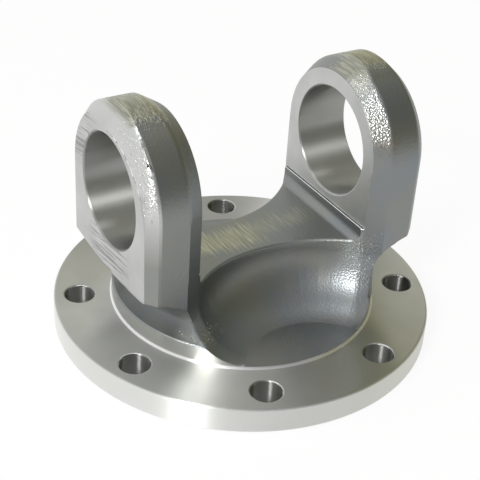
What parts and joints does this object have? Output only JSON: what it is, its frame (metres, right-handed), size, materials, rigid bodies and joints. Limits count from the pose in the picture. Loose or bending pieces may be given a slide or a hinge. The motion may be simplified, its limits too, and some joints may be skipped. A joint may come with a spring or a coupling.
{
  "type": "flange yoke",
  "caption": "Forged steel flange yoke: a round bolt flange carries two rounded ears with a cross bore, joined by a saddle with scooped flanks.",
  "frame": {"origin": "centre of the mating face of the flange", "axes": "+Z along the shaft axis from the mating face towards the ears, X along the cross bore, Y across the ears"},
  "size_m": [0.18, 0.18, 0.1242],
  "materials": {
    "steel": "satin"
  },
  "bodies": {
    "root": {"yoke": "steel"}
  },
  "joints": []
}
